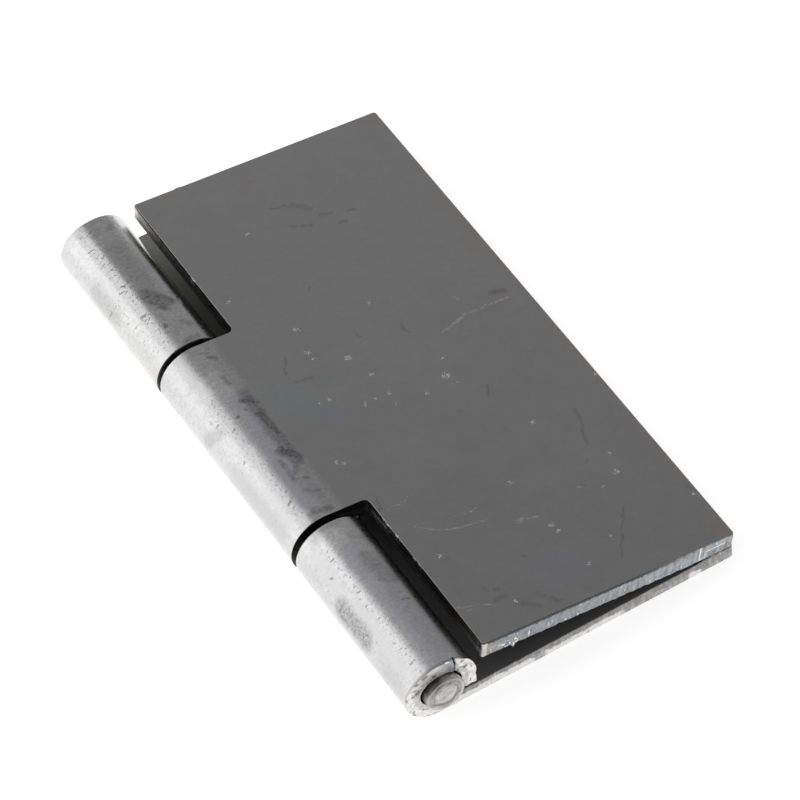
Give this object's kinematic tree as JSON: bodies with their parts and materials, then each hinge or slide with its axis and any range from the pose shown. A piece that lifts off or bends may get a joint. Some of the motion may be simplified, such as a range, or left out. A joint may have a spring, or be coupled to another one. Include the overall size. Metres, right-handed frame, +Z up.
{
  "type": "butt hinge",
  "caption": "Undrilled steel butt hinge for welding, with rolled knuckles and a fixed pin, closed with its two leaves meeting at their free edges.",
  "frame": {"origin": "middle of the base leaf's flat underside, from the pin axis to the free edge and end to end", "axes": "+Y along the pin, +X from the pin to the leaves' free edges, +Z up from the base leaf to the top leaf"},
  "size_m": [0.0442, 0.0822, 0.0089],
  "materials": {
    "base_leaf_steel": "bare rolled sheet steel, mottled and lightly oiled, bright sheared edges",
    "top_leaf_steel": "bare cold rolled sheet steel, smooth and lightly oiled, fine scratches, bright sheared edges",
    "pin_steel": "plain drawn steel rod with turned end faces"
  },
  "bodies": {
    "base": {"base_leaf": "base_leaf_steel", "hinge_pin": "pin_steel"},
    "swing": {"top_leaf": "top_leaf_steel"}
  },
  "joints": [
    {"name": "leaf_swing", "type": "hinge", "parent": "base", "child": "swing", "pos_m": [-0.0197, 0, 0.00445], "axis": [0, -1, 0], "range_deg": [0, 284]}
  ]
}
